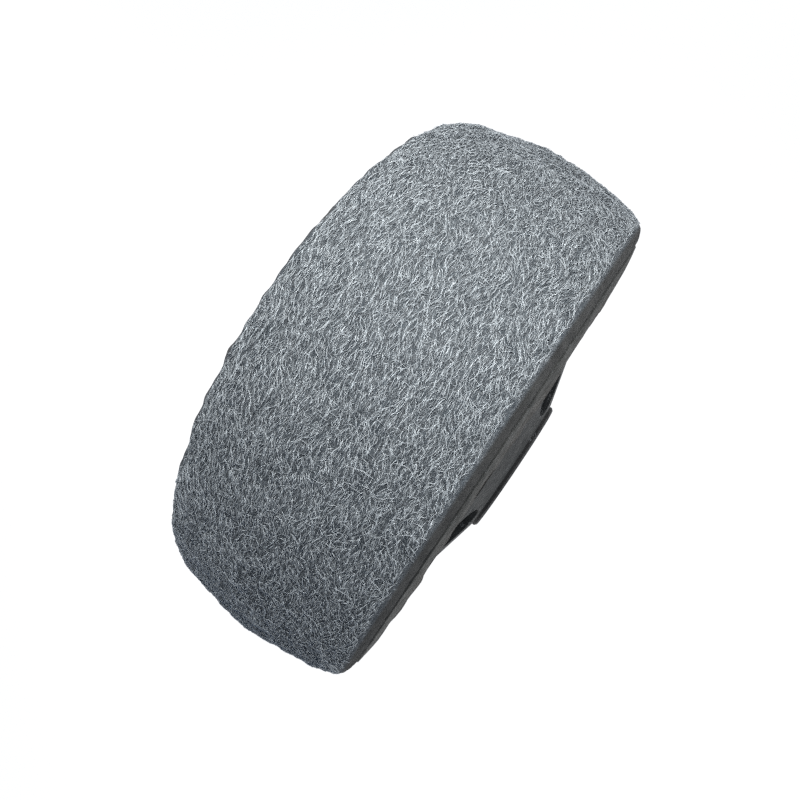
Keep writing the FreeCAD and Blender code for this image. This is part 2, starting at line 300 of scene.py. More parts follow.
def lint():
    """Felt dust that settles on the hub and the rubber: short pale hairs, where noise that
    is stretched in three directions crosses its middle, and fine specks."""
    group, entry, result = new_group("lint", {"Amount": 0.5}, {"Mask": "Float"})
    hairs = []
    for turn, stretch in enumerate(((0.35, 1.6, 1.2), (1.5, 0.4, 1.3), (1.2, 1.5, 0.35))):
        drawn_out = stretched(group, entry["Place"], *stretch)
        shifted = vector_maths(group, "ADD", drawn_out, (9.0 * turn, 3.0, 5.0))
        swirl = noise(group, shifted, 0.9, detail=1.0, distortion=0.6)
        off_line = maths(group, "ABSOLUTE", maths(group, "SUBTRACT", swirl, 0.5))
        line = eased_step(group, off_line, 0.012, 0.002)
        here = eased_step(group, noise(group, shifted, 0.31, detail=0.0), 0.56, 0.64)
        hairs.append(maths(group, "MULTIPLY", line, here))
    specks = put(group, "TexVoronoi", {"Vector": entry["Place"], "Scale": 1.3}, feature="F1")
    dots = eased_step(group, specks.outputs["Distance"], 0.09, 0.04)
    all_dust = highest(group, hairs + [dots])
    plug(group, result["Mask"], maths(group, "MULTIPLY", all_dust, entry["Amount"]))
    return group


MOULDED_GRAIN = moulded_grain()
WORN_EDGES = worn_edges()
LINT = lint()
LINT_COLOUR = (0.42, 0.44, 0.45, 1)


def moulded_nylon(name, base, pale, grain, grain_depth, lint_amount):
    """Glass-filled nylon: a dull moulded grain, soft flow marks, pale glass near the skin,
    rubbed chamfers, rings rubbed by the arbor's flange, and lint from the felt. The grain's
    size is in millimetres and its depth in metres."""
    material, tree, surface, place = new_material(name, **{"Specular IOR Level": 0.12})
    normal = put(tree, "SeparateXYZ", {"Vector": put(tree, "TexCoord").outputs["Normal"]})
    where = use(tree, ROUND_THE_AXLE, place)
    flow = use(tree, HANDLING, place, Size=9.0)["Mask"]
    smudge = use(tree, HANDLING, place, Size=2.2)["Mask"]
    drawn_out = stretched(tree, place, 3.0, 1.6, 1.1)
    glass = put(tree, "TexVoronoi", {"Vector": drawn_out, "Scale": 1.7}, feature="F1")
    glint = eased_step(tree, glass.outputs["Distance"], 0.13, 0.05, 0.0, 0.35)
    edge = use(tree, WORN_EDGES, place, Lean=normal.outputs["Y"])["Mask"]
    marks = use(tree, TURNING_MARKS, turned_track(tree, place), Pitch=0.06)
    off_middle = maths(tree, "ABSOLUTE", where["Along"])
    outermost = eased_step(tree, off_middle, CLAMP_FACE - 0.1, CLAMP_FACE - 0.02)
    rings = maths(tree, "MULTIPLY", outermost, eased_step(tree, marks["Height"], 0.62, 0.95))
    dust = use(tree, LINT, place, Amount=lint_amount)["Mask"]
    colour = mixed(tree, flow, base, pale)
    colour = mixed(tree, glint, colour, SCUFFED_NYLON)
    rubbed = maths(tree, "MAXIMUM", maths(tree, "MULTIPLY", edge, 0.7), rings)
    colour = mixed(tree, rubbed, colour, SCUFFED_NYLON)
    plug(tree, surface.inputs["Base Color"], mixed(tree, dust, colour, LINT_COLOUR))
    dull = maths(tree, "MULTIPLY_ADD", smudge, 0.14, 0.56)
    dull = maths(tree, "MULTIPLY_ADD", rings, -0.12, dull)
    dull = maths(tree, "MULTIPLY_ADD", dust, 0.3, dull, clamp=True)
    plug(tree, surface.inputs["Roughness"], dull)
    grain_height = use(tree, MOULDED_GRAIN, place, Size=grain)["Height"]
    height = maths(tree, "MULTIPLY_ADD", dust, 0.8, grain_height)
    scored = maths(tree, "MULTIPLY", rings, marks["Height"])
    height = maths(tree, "MULTIPLY_ADD", scored, 0.5, height)
    emboss(tree, surface, height, grain_depth)
    return material


hub_finish = moulded_nylon("hub nylon", HUB_NYLON, HUB_NYLON_PALE,
                           grain=0.22, grain_depth=0.00003, lint_amount=0.55)
for hub_half in ("hub_half_right", "hub_half_left"):
    dress(hub_half, hub_finish)


# ---------------------------------------------------------------------------------------
# Clamp screws, nuts and washers. Four M4 stainless socket head screws run through both
# covers and both hub halves. Their heads sit on washers in the right cover, and lock
# nuts sit in the left one. The heads are turned, the hexagons cold headed.

THREAD_PITCH = 0.7
THREAD_RELIEF = 40.0
SCREW_SHANK_RADIUS = 2.0
FASTENER_STEEL = (0.46, 0.46, 0.46, 1)
FASTENER_STEEL_BRIGHT = (0.58, 0.58, 0.57, 1)
SOILED_STEEL = (0.36, 0.35, 0.34, 1)
washer_points = np.array([corner.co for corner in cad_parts["clamp_washers"].data.vertices])
SCREW_OFFSET = float(np.abs(washer_points[:, 0]).mean()) * TO_MILLIMETRES


def fastener_steel():
    """Stainless steel, marked round each screw's own line. The four lines lie alike in the
    four quarters, so |x| and |z| less their offset are the place about the nearest one."""
    material, tree, surface, place = new_material("stainless steel", Metallic=1.0)
    folded = vector_maths(tree, "ABSOLUTE", place)
    apart = put(tree, "SeparateXYZ", {"Vector": folded})
    along = put(tree, "SeparateXYZ", {"Vector": place}).outputs["Y"]
    own_x = maths(tree, "SUBTRACT", apart.outputs["X"], SCREW_OFFSET)
    own_z = maths(tree, "SUBTRACT", apart.outputs["Z"], SCREW_OFFSET)
    own = put(tree, "CombineXYZ", {"X": own_x, "Y": along, "Z": own_z}).outputs["Vector"]
    radius = use(tree, ROUND_THE_AXLE, own)["Radius"]
    marks = use(tree, TURNING_MARKS, turned_track(tree, own), Pitch=0.07)
    film = use(tree, HANDLING, place, Size=1.4)["Mask"]
    turn = maths(tree, "ARCTAN2", own_z, own_x)
    lead = maths(tree, "MULTIPLY_ADD", turn, THREAD_PITCH / math.tau, along)
    thread = maths(tree, "PINGPONG", lead, THREAD_PITCH / 2)
    on_shank = eased_step(tree, radius, SCREW_SHANK_RADIUS + 0.02, SCREW_SHANK_RADIUS - 0.02)
    groove = maths(tree, "MULTIPLY", thread, on_shank)
    colour = mixed(tree, marks["Tone"], FASTENER_STEEL, FASTENER_STEEL_BRIGHT)
    colour = mixed(tree, maths(tree, "MULTIPLY", film, 0.6), colour, SOILED_STEEL)
    plug(tree, surface.inputs["Base Color"], colour)
    plug(tree, surface.inputs["Roughness"], maths(tree, "MULTIPLY_ADD", film, 0.16, 0.36))
    height = maths(tree, "MULTIPLY_ADD", groove, THREAD_RELIEF, marks["Height"])
    emboss(tree, surface, height, 0.000012)
    return material


fastener_finish = fastener_steel()
for fastener in ("clamp_screws", "clamp_nuts", "clamp_washers"):
    dress(fastener, fastener_finish)


# ---------------------------------------------------------------------------------------
# Lock rings. Each nut holds a ring of natural nylon under its collar, which grips the
# screw's thread. The ring is milky, with the print of the thread in its bore.

NATURAL_NYLON = (0.74, 0.71, 0.64, 1)
NYLON_IN_SHADE = (0.63, 0.60, 0.53, 1)
NYLON_GRIME = (0.30, 0.30, 0.29, 1)
NYLON_LINT = (0.33, 0.35, 0.36, 1)


def natural_nylon(name, pitch, soil):
    """Turned nylon: milky, slightly waxy, with round tool marks and grey dust in them."""
    material, tree, surface, place = new_material(name)
    marks = use(tree, TURNING_MARKS, turned_track(tree, place), Pitch=pitch)
    cloud = use(tree, HANDLING, place, Size=5.0)["Mask"]
    grime = use(tree, HANDLING, place, Size=1.7)["Mask"]
    dust = use(tree, LINT, place, Amount=0.35)["Mask"]
    colour = mixed(tree, cloud, NATURAL_NYLON, NYLON_IN_SHADE)
    dirty = maths(tree, "MULTIPLY", maths(tree, "MULTIPLY", grime, marks["Tone"]), soil)
    colour = mixed(tree, dirty, colour, NYLON_GRIME)
    plug(tree, surface.inputs["Base Color"], mixed(tree, dust, colour, NYLON_LINT))
    plug(tree, surface.inputs["Roughness"], eased_step(tree, marks["Height"], 0.4, 1.1, 0.34, 0.52))
    emboss(tree, surface, marks["Height"], 0.00002)
    return material


dress("lock_rings", natural_nylon("lock ring nylon", pitch=0.15, soil=0.25))


# ---------------------------------------------------------------------------------------
# Cover gaskets. Flat rings stamped from black sheet rubber, dusted with chalk so that
# they don't stick. Each lies between a cover's edge and the ledge inside the hub's rim.

BLACK_RUBBER = (0.018, 0.018, 0.019, 1)
CHALKY_RUBBER = (0.045, 0.045, 0.044, 1)
HALF_THREAD = 0.18


def sheet_rubber():
    """Black sheet rubber with the print of its backing cloth and a bloom of chalk."""
    material, tree, surface, place = new_material("sheet rubber")
    bloom = use(tree, HANDLING, place, Size=3.0)["Mask"]
    apart = put(tree, "SeparateXYZ", {"Vector": place})
    warp = maths(tree, "PINGPONG", apart.outputs["X"], HALF_THREAD)
    weft = maths(tree, "PINGPONG", apart.outputs["Z"], HALF_THREAD)
    cloth = maths(tree, "MAXIMUM", warp, weft)
    plug(tree, surface.inputs["Base Color"], mixed(tree, bloom, BLACK_RUBBER, CHALKY_RUBBER))
    plug(tree, surface.inputs["Roughness"], maths(tree, "MULTIPLY_ADD", bloom, 0.2, 0.62))
    emboss(tree, surface, cloth, 0.00015)
    return material


gasket_finish = sheet_rubber()
for gasket in ("cover_gasket_right", "cover_gasket_left"):
    dress(gasket, gasket_finish)


# ---------------------------------------------------------------------------------------
# Side covers. Thin discs of charcoal nylon with a coarser mould texture than the hub's.
# They keep grit and water out of the hub, and hold the screws' heads and the nuts.

COVER_NYLON = (0.021, 0.023, 0.024, 1)
COVER_NYLON_PALE = (0.031, 0.034, 0.035, 1)

cover_finish = moulded_nylon("cover nylon", COVER_NYLON, COVER_NYLON_PALE,
                             grain=0.42, grain_depth=0.00007, lint_amount=0.4)
for cover in ("side_cover_right", "side_cover_left"):
    dress(cover, cover_finish)


# ---------------------------------------------------------------------------------------
# Cushion ring. Closed-cell rubber, cut from a thick sheet, bored for the hub and ground
# to a crown for the felt. Its rounded sides are ground smooth and rubbed with sealer, so
# they are dull and dark, with cut cells and slight hollows.

MM = 0.001
COLUMNS = 720
WHEEL_RADIUS = 50.8 * MM
TREAD_CROWN = 2.8 * MM
SHOULDER_WIDTH = 2.5 * MM
FLAT_SIDE = 1.5 * MM
FELT_THICKNESS = 3.6 * MM
GLUE_LINE = 0.1 * MM
RIM_SINK = 0.8 * MM
LIP_HEIGHT = 2.5 * MM
LIP_THICKNESS = 1.5 * MM
LIP_CLEARANCE = 0.1 * MM
DRIVE_RIBS = 6
DRIVE_RIB_HALF_WIDTH = 2.1 * MM
DRIVE_RIB_GROOVE = 1.7 * MM
DRIVE_RIB_REACH = 12.85 * MM
GROOVE_STEP = 0.02 * MM
GROUND_OFF = 0.1 * MM
CROWN_STEPS = 14
SHOULDER_STEPS = 9
SIDE_STEPS = 26

half_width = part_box("cushion_ring")[1].y
tread_half = half_width - SHOULDER_WIDTH
lip_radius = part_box("hub_half_right")[1].z
barrel_radius = lip_radius - LIP_HEIGHT
side_radius = lip_radius + FLAT_SIDE
shoulder_height = WHEEL_RADIUS - TREAD_CROWN - side_radius
turns = np.arange(COLUMNS) * math.tau / COLUMNS


def crown(along, depth, reach):
    """Radius of the crowned curve at a depth under the tread: an arc that is as high as
    the tread's crown over its reach on both sides of the middle."""
    bow = (reach ** 2 + TREAD_CROWN ** 2) / (2 * TREAD_CROWN)
    return WHEEL_RADIUS - depth - bow + np.sqrt(bow ** 2 - along ** 2)


def shoulder(angle):
    """(radius, along) of a point on the right shoulder, an ellipse between the tread's
    edge at angle 0 and the flat side at a quarter turn."""
    radius = side_radius + shoulder_height * np.cos(angle)
    return radius, tread_half + SHOULDER_WIDTH * np.sin(angle)


def shoulder_angle_at(depth):
    """The shoulder's angle where the crowned curve at a depth meets it, found by halving."""
    low, high = 0.0, math.pi / 2
    for _ in range(40):
        middle = (low + high) / 2
        radius, along = shoulder(middle)
        if radius > crown(along, depth, half_width):
            low = middle
        else:
            high = middle
    return low


def uneven(seed, count, shortest, longest, height):
    """A random uneven surface as a function of turn and of distance across, in metres: a
    sum of cosines with a whole number of waves round the wheel each, random headings and
    phases, and waves between the shortest and the longest. height is its root mean square."""
    draw = np.random.default_rng(seed)
    length = np.exp(draw.uniform(math.log(shortest), math.log(longest), count))
    heading = draw.uniform(0, math.pi, count)
    phase = draw.uniform(0, math.tau, count)
    round_waves = np.rint(math.tau * WHEEL_RADIUS / length * np.cos(heading))
    across_pitch = math.tau / length * np.sin(heading)
    size = height * math.sqrt(2 / count)

    def at(turn, across):
        total = np.zeros(np.broadcast(turn, across).shape)
        for waves, pitch, start in zip(round_waves, across_pitch, phase):
            total += np.cos(waves * turn + pitch * across + start)
        return total * size

    return at


def new_piece(name, points, faces, material, smooth=True):
    """A mesh object at the origin from an array of points and arrays of faces, each array
    with its own number of corners."""
    mesh = bpy.data.meshes.new(name)
    mesh.vertices.add(len(points))
    mesh.vertices.foreach_set("co", points.astype(np.float32).ravel())
    corners = np.concatenate([array.ravel() for array in faces])
    sizes = np.concatenate([np.full(len(array), array.shape[1]) for array in faces])
    mesh.loops.add(len(corners))
    mesh.loops.foreach_set("vertex_index", corners.astype(np.int32))
    mesh.polygons.add(len(sizes))
    mesh.polygons.foreach_set("loop_start", (np.cumsum(sizes) - sizes).astype(np.int32))
    mesh.update(calc_edges=True)
    mesh.polygons.foreach_set("use_smooth", np.full(len(sizes), smooth))
    mesh.materials.append(material)
    piece = bpy.data.objects.new(name, mesh)
    bpy.context.scene.collection.objects.link(piece)
    return piece


def turned_points(turn, radius, along):
    """Points at a radius and a place along the axle, turned about it."""
    return np.stack(np.broadcast_arrays(radius * np.cos(turn), along, radius * np.sin(turn)), -1)


def ring_faces(columns, rows):
    """Quads of a grid that closes on itself both ways, columns round the wheel and rows
    round the section; they face outwards where the rows run from left to right outside."""
    column, row = np.meshgrid(np.arange(columns), np.arange(rows), indexing="ij")
    next_column, next_row = (column + 1) % columns, (row + 1) % rows
    here, beside = column * rows, next_column * rows
    square = [here + row, here + next_row, beside + next_row, beside + row]
    return np.stack(square, -1).reshape(-1, 4)


def cushion_section():
    """Half of the ring's section, from the middle of its crown to the middle of its bore:
    (radius, along, how freely the surface there is ground, how much the groove counts).
    The sides are ground freely, less so beside the hub's lip, and the rest is held."""
    meet = shoulder_angle_at(FELT_THICKNESS + GLUE_LINE)
    meet_along = shoulder(meet)[1]
    crown_along = np.linspace(0, meet_along, CROWN_STEPS)[:-1]
    crown_radius = crown(crown_along, FELT_THICKNESS + GLUE_LINE, half_width)
    round_radius, round_along = shoulder(np.linspace(meet, math.pi / 2, SHOULDER_STEPS))
    seat_radius = lip_radius + LIP_CLEARANCE
    flat_radius = np.linspace(side_radius, seat_radius, SIDE_STEPS)[1:]
    seat_floor = half_width - RIM_SINK - LIP_THICKNESS - LIP_CLEARANCE
    bore = barrel_radius + GLUE_LINE
    flat_along = np.full(len(flat_radius), half_width)
    inner_radius = [seat_radius, bore, bore, bore, bore]
    inner_along = [seat_floor, seat_floor, DRIVE_RIB_REACH + GROOVE_STEP, DRIVE_RIB_REACH, 0.0]
    radius = np.concatenate([crown_radius, round_radius, flat_radius, inner_radius])
    along = np.concatenate([crown_along, round_along, flat_along, inner_along])
    ground = np.concatenate([np.zeros(len(crown_radius)), np.linspace(0, 1, len(round_radius)),
                             np.ones(len(flat_radius) - 2), [0.5, 0.0], np.zeros(5)])
    grooved = np.concatenate([np.zeros(len(radius) - 2), np.ones(2)])
    return radius, along, ground, grooved


SIDE_WAVES = [
    uneven(seed=31, count=40, shortest=7 * MM, longest=30 * MM, height=0.16 * MM),
    uneven(seed=32, count=50, shortest=2 * MM, longest=6 * MM, height=0.03 * MM),
]


def cushion_points():
    """The section turned about the axle. Its sides are ground off and wave a little, and
    its bore steps out by the groove's depth wherever a drive rib lies within half its
    width."""
    radius, along, ground, grooved = cushion_section()
    radius, along, ground, grooved = [
        np.concatenate([half[::-1] * sign, half[1:-1]])
        for half, sign in ((radius, 1), (along, -1), (ground, 1), (grooved, 1))
    ]
    turn = turns[:, None]
    rise = sum(waves(turn, radius) for waves in SIDE_WAVES) - GROUND_OFF
    share_off_rib = np.abs((turn * DRIVE_RIBS / math.tau + 0.5) % 1 - 0.5)
    off_rib = share_off_rib * math.tau / DRIVE_RIBS * barrel_radius
    radius_here = radius + grooved * (off_rib < DRIVE_RIB_HALF_WIDTH) * DRIVE_RIB_GROOVE
    along_here = along + np.sign(along) * ground * rise
    return turned_points(turn, radius_here, along_here).reshape(-1, 3), len(radius)


RUBBER = (0.032, 0.030, 0.027, 1)
RUBBER_PALE = (0.044, 0.042, 0.038, 1)
RUBBER_MARKS = (0.052, 0.053, 0.051, 1)
RUBBER_PALER_OUTSIDE = (0.052, 0.054, 0.051, 1)
# Painted shade in the pits of the cut cells.
RUBBER_PIT_SHADE = (0.019, 0.019, 0.018, 1)
RUBBER_LINT = (0.34, 0.36, 0.37, 1)
PALING_FROM = 36.0
PALING_TO = 47.0


def cellular_rubber():
    """Ground closed-cell rubber: charcoal, mottled, with cut cells as fine pits, round
    grinding marks and a dull sealer that is worn off in places. The pits are coloured darker
    as painted shade. The rubber pales outwards, towards the felt: the paler share grows with
    the radius, which is in millimetres here."""
    material, tree, surface, place = new_material("cellular rubber", **{"Specular IOR Level": 0.15})
    where = use(tree, ROUND_THE_AXLE, place)
    mottle = use(tree, HANDLING, place, Size=7.0)["Mask"]
    worn = use(tree, HANDLING, place, Size=2.4)["Mask"]
    marks = use(tree, TURNING_MARKS, turned_track(tree, place), Pitch=0.25)
    large_cells = put(tree, "TexVoronoi", {"Vector": place, "Scale": 2.6}, feature="F1")
    small_cells = put(tree, "TexVoronoi", {"Vector": place, "Scale": 6.0}, feature="F1")
    large_pits = eased_step(tree, large_cells.outputs["Distance"], 0.24, 0.10)
    small_pits = eased_step(tree, small_cells.outputs["Distance"], 0.30, 0.16, 0.0, 0.6)
    pits = maths(tree, "MAXIMUM", large_pits, small_pits)
    open_pits = maths(tree, "MULTIPLY", pits, maths(tree, "MULTIPLY_ADD", worn, 0.7, 0.3))
    hairs = use(tree, LINT, place, Amount=0.35)["Mask"]
    # The rubber is coloured paler outwards, towards the felt, by the radius, and the mottle breaks
    # up the change.
    ragged = maths(tree, "MULTIPLY_ADD", mottle, 5.0, where["Radius"])
    paler_outwards = eased_step(tree, ragged, PALING_FROM, PALING_TO)
    colour = mixed(tree, mottle, RUBBER, RUBBER_PALE)
    colour = mixed(tree, maths(tree, "MULTIPLY", marks["Tone"], 0.2), colour, RUBBER_MARKS)
    colour = mixed(tree, paler_outwards, colour, RUBBER_PALER_OUTSIDE)
    # Painted shade: the open pits are coloured darker, as shade in their hollows.
    colour = mixed(tree, maths(tree, "MULTIPLY", open_pits, 0.5), colour, RUBBER_PIT_SHADE)
    plug(tree, surface.inputs["Base Color"], mixed(tree, hairs, colour, RUBBER_LINT))
    plug(tree, surface.inputs["Roughness"], maths(tree, "MULTIPLY_ADD", worn, 0.22, 0.60))
    height = maths(tree, "MULTIPLY", marks["Height"], 0.35)
    height = maths(tree, "MULTIPLY_ADD", open_pits, -1.0, height)
    emboss(tree, surface, maths(tree, "MULTIPLY_ADD", hairs, 0.4, height), 0.00008)
    return material


cushion_grid, cushion_rows = cushion_points()
cushion_faces = ring_faces(COLUMNS, cushion_rows)
cushion = new_piece("cushion_ground_ring", cushion_grid, [cushion_faces], cellular_rubber())
cushion.data.set_sharp_from_angle(angle=math.radians(50))
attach(cushion, "wheel")
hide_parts("cushion_ring")


# ---------------------------------------------------------------------------------------
# Felt tyre. A band of grey and slate blue wool, pressed to felt and glued round the
# cushion. It follows the cushion's shoulders and is trimmed just inside the wheel's sides.
# Work and wet have hollowed it, and its surface is brushed up round the wheel.

FELT_OUTSIDE_ROWS = 112
FELT_INSIDE_ROWS = 12
ROW_SQUEEZE = 0.12
OUTLINE_STEPS = 2000
FELT_MARGIN = 1.05 * MM
TREAD_HOLLOW = 0.7 * MM
HOLLOW_FADE = 9.0 * MM
EDGE_WEAR = 0.9 * MM
WEAR_REACH = 4.0 * MM
LUMP_FADE = 1.2 * MM

# Each broad wave of the felt: how many go round the wheel, how many turns it slants by from
# side to side, its phase, and its share of the whole.
FELT_WAVES = [
    (16, 1.0, 0.4, 0.26),
    (26, -1.6, 2.1, 0.22),
    (22, 2.3, 4.0, 0.20),
    (30, 0.7, 5.3, 0.17),
    (12, -2.6, 1.2, 0.15),
]

felt_end = half_width - FELT_MARGIN


def felt_outline():
    """The outside of the felt's section, from its left edge over the crown to its right
    edge: distance across from the middle, radius, place along, and the outward normal."""
    top = np.linspace(-tread_half, tread_half, OUTLINE_STEPS)
    angle = np.linspace(0, math.asin((felt_end - tread_half) / SHOULDER_WIDTH), OUTLINE_STEPS)[1:]
    side_r, side_y = shoulder(angle)
    radius = np.concatenate([side_r[::-1], crown(top, 0.0, tread_half), side_r])
    along = np.concatenate([-side_y[::-1], top, side_y])
    slope_r, slope_y = np.gradient(radius), np.gradient(along)
    length = np.hypot(slope_r, slope_y)
    step_r, step_y = np.diff(radius, prepend=radius[0]), np.diff(along, prepend=along[0])
    across = np.cumsum(np.hypot(step_r, step_y))
    return across - across[-1] / 2, radius, along, slope_y / length, -slope_r / length


OUTLINE = felt_outline()
felt_reach = float(OUTLINE[0][-1])
tread_reach = float(np.interp(tread_half, OUTLINE[2], OUTLINE[0]))

SMALL_LUMPS = [
    uneven(seed=12, count=60, shortest=3.2 * MM, longest=8 * MM, height=0.09 * MM),
    uneven(seed=13, count=60, shortest=1.6 * MM, longest=3.0 * MM, height=0.035 * MM),
]


def felt_hollows(turn, along):
    """How deep the felt's broad hollows are: half the greatest depth times one less the
    felt's waves, which run round and across it. They fade out beside the felt's edges."""
    wave = 0.0
    for count, skew, phase, share in FELT_WAVES:
        slant = skew * math.tau * along / (2 * half_width)
        wave = wave + share * np.cos(count * turn + slant + phase)
    fade = np.clip((felt_end - np.abs(along)) / HOLLOW_FADE, 0, 1)
    return TREAD_HOLLOW * fade * (1 - wave) / 2


def felt_surface(turn, across, height=0.0):
    """A point over the felt: the section's point at a distance across, sunk by the broad
    hollows and by the wear of its edges, which grows with the square of the way past where
    it starts, then moved out along its normal by the small lumps and by a height."""
    place, radius, along, normal_r, normal_y = OUTLINE
    here_y = np.interp(across, place, along)
    worn = EDGE_WEAR * np.clip((np.abs(here_y) - felt_end + WEAR_REACH) / WEAR_REACH, 0, 1) ** 2
    here_r = np.interp(across, place, radius) - felt_hollows(turn, here_y) - worn
    held = np.clip((felt_reach - np.abs(across)) / LUMP_FADE, 0, 1)
    rise = sum(lumps(turn, across) for lumps in SMALL_LUMPS) * held + height
    here_r = here_r + np.interp(across, place, normal_r) * rise
    here_y = here_y + np.interp(across, place, normal_y) * rise
    return turned_points(turn, here_r, here_y)


def felt_points():
    """The whole section turned about the axle: outside rows from left to right, a little
    closer together in the middle, then inside rows back along the glue line."""
    share = np.linspace(-1, 1, FELT_OUTSIDE_ROWS)
    across = felt_reach * ((1 - ROW_SQUEEZE) * share + ROW_SQUEEZE * share ** 3)
    turn = turns[:, None]
    outside = felt_surface(turn, across[None, :])
    inside_along = np.linspace(felt_end, -felt_end, FELT_INSIDE_ROWS)
    inside_radius = crown(inside_along, FELT_THICKNESS, half_width)
    inside = turned_points(turn, inside_radius[None, :], inside_along[None, :])
    grid = np.concatenate([outside, inside], axis=1)
    return grid.reshape(-1, 3), grid.shape[1]


# Each layer of the mat: its scale round the wheel, its scale across, its shift along the
# axle, and how pale its wool is.
MAT_LAYERS = [
    (34.0, 2.2, 3.0, 1.0),
    (52.0, 3.0, 17.0, 0.55),
    (70.0, 1.9, 29.0, 0.8),
    (44.0, 3.6, 41.0, 0.4),
    (90.0, 3.2, 53.0, 0.65),
]


def matted_fibres():
    """Matted wool: crossing layers of curly lines. A layer is noise stretched round the
    wheel; a line runs wherever it crosses its middle, and a slower noise breaks the lines
    into lengths. Gives the lines' height, less for each layer, and how pale they are."""
    group, entry, result = new_group(
        "matted fibres", {"Length": 1.0}, {"Height": "Float", "Pale": "Float"})
    where = use(group, ROUND_THE_AXLE, entry["Place"])
    along = put(group, "SeparateXYZ", {"Vector": entry["Place"]}).outputs["Y"]
    turn = put(group, "SeparateXYZ", {"Vector": where["Turn"]})
    heights, tones = [], []
    for depth, (round_scale, across_scale, shift, paleness) in enumerate(MAT_LAYERS):
        round_size = maths(group, "DIVIDE", round_scale, entry["Length"])
        east = maths(group, "MULTIPLY", turn.outputs["X"], round_size)
        north = maths(group, "MULTIPLY", turn.outputs["Z"], round_size)
        over = maths(group, "MULTIPLY_ADD", along, across_scale, shift)
        spot = put(group, "CombineXYZ", {"X": east, "Y": over, "Z": north}).outputs["Vector"]
        swirl = noise(group, spot, 1.0, detail=1.0, distortion=0.9)
        off_line = maths(group, "ABSOLUTE", maths(group, "SUBTRACT", swirl, 0.5))
        line = eased_step(group, off_line, 0.034, 0.004)
        cut = eased_step(group, noise(group, spot, 0.43, detail=0.0), 0.40, 0.56)
        strand = maths(group, "MULTIPLY", line, cut)
        heights.append(maths(group, "MULTIPLY", strand, 1.0 - 0.13 * depth))
        tones.append(maths(group, "MULTIPLY", strand, paleness))
    plug(group, result["Height"], highest(group, heights))
    plug(group, result["Pale"], highest(group, tones))
    return group


MATTED_FIBRES = matted_fibres()
TREAD_EDGE = tread_half * TO_MILLIMETRES
SLATE_WOOL = (0.120, 0.142, 0.158, 1)
PALER_WOOL = (0.175, 0.197, 0.208, 1)
# Darker wool for the hollows between the fibres: partly its own darker tone and partly painted
# shade.
HOLLOW_WOOL_AND_SHADE = (0.056, 0.068, 0.079, 1)
MATTED_WOOL = (0.50, 0.54, 0.56, 1)
# Painted shade: past the tread, the felt's shoulders and sides are coloured dark for the shade on
# the sides that turn from the lamp.
SHADED_CUT_WOOL = (0.046, 0.046, 0.043, 1)
SHADED_CUT_WOOL_PALE = (0.066, 0.067, 0.063, 1)


def wool_felt():
    """Grey wool felt: slate under-wool in soft clumps, matted pale fibres over it, and dark
    hollows between them, partly darker wool and partly painted shade. The trimmed edges, past
    the tread, are plain and matt, and painted dark as shade."""
    material, tree, surface, place = new_material(
        "wool felt", **{"Sheen Weight": 0.1, "Sheen Roughness": 0.6, "Specular IOR Level": 0.2})
    mat = use(tree, MATTED_FIBRES, place, Length=1.0)
    clumps = use(tree, HANDLING, place, Size=5.0)["Mask"]
    dapple = use(tree, HANDLING, place, Size=0.7)["Mask"]
    off_middle = maths(tree, "ABSOLUTE", use(tree, ROUND_THE_AXLE, place)["Along"])
    trimmed = eased_step(tree, off_middle, TREAD_EDGE + 0.15, TREAD_EDGE + 0.7)
    under = mixed(tree, clumps, SLATE_WOOL, PALER_WOOL)
    # Painted shade, with some darker wool: the dappled hollows between the fibres are coloured
    # darker.
    under = mixed(tree, maths(tree, "MULTIPLY", dapple, 0.7), under, HOLLOW_WOOL_AND_SHADE)
    brushed = mixed(tree, mat["Pale"], under, MATTED_WOOL)
    # Painted shade: the trimmed felt past the tread is coloured dark.
    cut = mixed(tree, clumps, SHADED_CUT_WOOL, SHADED_CUT_WOOL_PALE)
    plug(tree, surface.inputs["Base Color"], mixed(tree, trimmed, brushed, cut))
    plug(tree, surface.inputs["Roughness"], maths(tree, "MULTIPLY_ADD", mat["Height"], -0.12, 0.96))
    nap = maths(tree, "MULTIPLY_ADD", dapple, 0.5, mat["Height"])
    brushed_up = maths(tree, "MULTIPLY_ADD", trimmed, -0.75, 1.0)
    emboss(tree, surface, maths(tree, "MULTIPLY", nap, brushed_up), 0.0002)
    return material


felt_grid, felt_rows = felt_points()
felt = new_piece("felt_band", felt_grid, [ring_faces(COLUMNS, felt_rows)], wool_felt())
felt.data.set_sharp_from_angle(angle=math.radians(60))
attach(felt, "wheel")
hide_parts("felt_tyre")


# ---------------------------------------------------------------------------------------
# Loose fibres. The wool that brushing has raised: short curly fibres that lie round the
# tread, dip in and out of the felt and cross each other. They go no further than the
# trimmed edge, and some lie along it.

SHORT_LAYERS = 7
SHORT_ROWS = 38
LONG_ROWS = 20
FIBRE_SIDES = 3
FIBRE_RADIUS = 0.057 * MM
FIBRE_TIP = 0.45
CROWN_LEAN = 0.25
PILE_HEIGHT = 0.20 * MM
LEAST_SWING = 0.02 * MM
MOST_SWING = 0.07 * MM
DIPS_PER_FIBRE = 0.7
EDGE_OVERHANG = 0.1 * MM
EDGE_SPREAD = 0.2 * MM
MEAN_LIE = -0.12
LIE = uneven(seed=21, count=60, shortest=2.5 * MM, longest=14 * MM, height=0.18)
HEADING_SPREAD = 0.24
STRAY_SHARE = 0.11
LOWEST_TONE = 0.11
# How much paler a fibre is the higher it lies: painted shade that darkens the low ones.
DEPTH_SHADE_RISE = 0.80
TONE_SPREAD = 0.20
DARK_WOOL = (0.120, 0.145, 0.162, 1)
PALE_WOOL = (0.87, 0.925, 0.94, 1)


